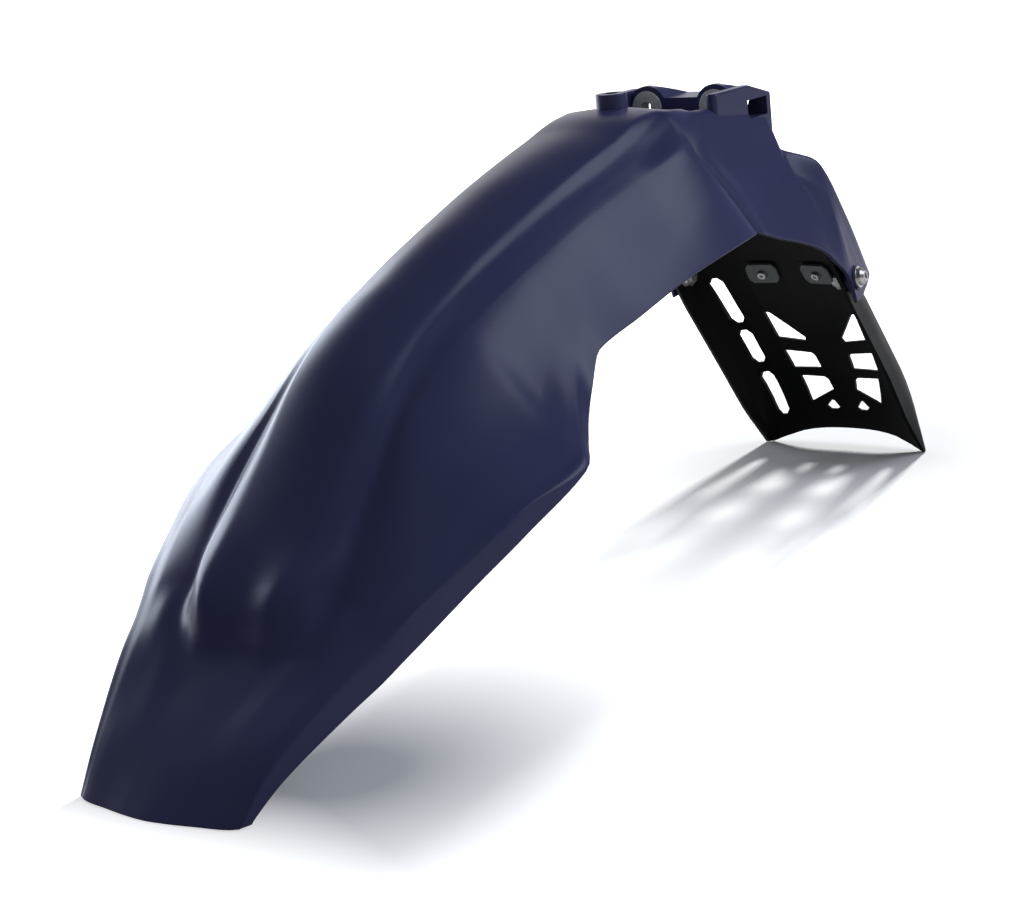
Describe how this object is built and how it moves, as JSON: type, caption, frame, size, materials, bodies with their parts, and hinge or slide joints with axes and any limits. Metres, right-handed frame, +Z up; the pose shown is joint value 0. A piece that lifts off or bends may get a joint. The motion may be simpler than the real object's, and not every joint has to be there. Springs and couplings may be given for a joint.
{
  "type": "motorcycle front mudguard",
  "caption": "High front mudguard of an off-road motorcycle: a raised moulded shell with flared wings and side flanks, a collar, and a vented rear flap screwed inside it.",
  "frame": {"origin": "on the ground under the middle of the length, in the plane of symmetry", "axes": "+Z up, nose towards -Y, vented flap towards +Y, +X to the rider's left"},
  "size_m": [0.236, 0.7079, 0.278],
  "materials": {
    "shell_plastic": "satin",
    "flap_plastic": "matte",
    "plate_metal": "matte",
    "steel": "satin",
    "aluminium": "satin"
  },
  "bodies": {
    "root": {"fender_shell": "shell_plastic", "vent_flap": "flap_plastic", "plate_left": "plate_metal", "plate_right": "plate_metal", "plate_screw_left": "steel", "plate_screw_right": "steel", "side_screw_left": "steel", "side_screw_right": "steel", "side_washer_left": "steel", "side_washer_right": "steel", "side_nut_left": "steel", "side_nut_right": "steel", "mount_sleeve_left": "aluminium", "mount_sleeve_right": "aluminium", "mount_washer_left": "aluminium", "mount_washer_right": "aluminium"}
  },
  "joints": []
}
